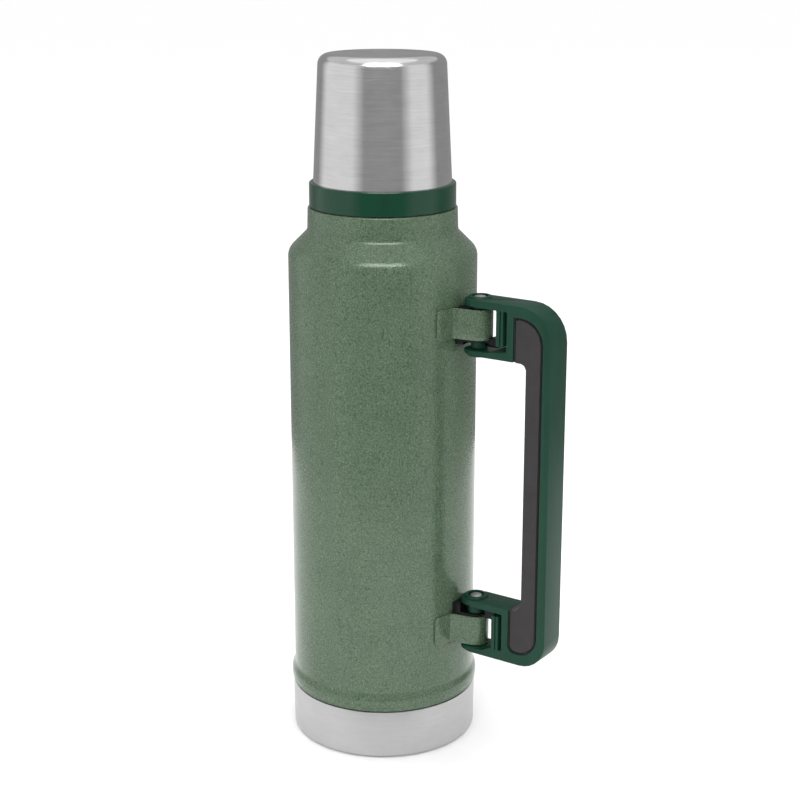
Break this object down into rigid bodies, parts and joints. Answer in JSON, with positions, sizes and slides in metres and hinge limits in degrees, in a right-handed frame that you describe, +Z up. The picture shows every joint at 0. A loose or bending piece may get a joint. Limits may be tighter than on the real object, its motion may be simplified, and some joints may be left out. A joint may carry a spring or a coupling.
{
  "type": "vacuum flask",
  "caption": "Double-walled steel vacuum flask with a screw stopper, an insulated drinking cup as its cover, a steel base cup and a folding side handle on strap hinges.",
  "frame": {"origin": "centre of the face that the flask stands on, on the axis of its body", "axes": "+Z up along the flask's axis; +X from the axis towards the handle; +Y completes a right-handed frame"},
  "size_m": [0.1593, 0.1034, 0.3728],
  "materials": {
    "hammertone_paint": "green hammertone paint, satin",
    "vessel_steel": "satin stainless steel",
    "braze_metal": "dull dark metal",
    "foil": "bright foil",
    "brushed_steel": "brushed stainless steel",
    "collar_plastic": "glossy dark green plastic",
    "hinge_plastic": "satin black plastic",
    "handle_plastic": "satin dark green plastic",
    "grip_rubber": "matte charcoal rubber",
    "pin_steel": "satin steel rivet",
    "liner_plastic": "dark green plastic",
    "stopper_plastic": "satin dark green plastic",
    "foam": "matte insulating foam",
    "seal_rubber": "grey silicone rubber"
  },
  "bodies": {
    "flask": {"outer_shell": "hammertone_paint", "outer_bottom": "vessel_steel", "vacuum_plug": "braze_metal", "inner_vessel": "vessel_steel", "radiation_foil": "foil", "getter": "braze_metal", "base_cup": "brushed_steel", "collar": "collar_plastic", "upper_bracket": "hammertone_paint", "lower_bracket": "hammertone_paint", "upper_hinge_insert": "hinge_plastic", "lower_hinge_insert": "hinge_plastic", "upper_bushing": "handle_plastic", "lower_bushing": "handle_plastic"},
    "handle": {"handle_frame": "handle_plastic", "grip": "grip_rubber", "upper_hinge_pin": "pin_steel", "lower_hinge_pin": "pin_steel"},
    "cup_seal": {"cup_seal_ring": "seal_rubber"},
    "cup": {"cup_shell": "brushed_steel", "cup_liner": "liner_plastic", "cup_foam": "foam"},
    "stopper_seal": {"stopper_gasket": "seal_rubber"},
    "stopper": {"stopper_body": "stopper_plastic", "stopper_cap": "stopper_plastic", "stopper_foam": "foam", "stopper_floor": "stopper_plastic"}
  },
  "joints": [
    {"name": "handle_swing", "type": "hinge", "parent": "flask", "child": "handle", "pos_m": [0.06065, 0, 0.1557], "axis": [0, 0, 1], "range_deg": [-95, 95]},
    {"name": "cup_lift", "type": "slide", "parent": "flask", "child": "cup_seal", "axis": [0, 0, 1], "range_m": [0, 0.12]},
    {"name": "cup_turn", "type": "hinge", "parent": "cup_seal", "child": "cup", "pos_m": [0, 0, 0.307], "axis": [0, 0, 1], "continuous": true},
    {"name": "stopper_turn", "type": "hinge", "parent": "stopper_seal", "child": "stopper", "pos_m": [0, 0, 0.3183], "axis": [0, 0, 1], "range_deg": [0, 540]},
    {"name": "stopper_lift", "type": "slide", "parent": "flask", "child": "stopper_seal", "axis": [0, 0, 1], "range_m": [0, 0.009]}
  ],
  "couplings": [
    {"joint": "stopper_lift", "follows": "stopper_turn", "m_per_rad": 0.00095493}
  ]
}
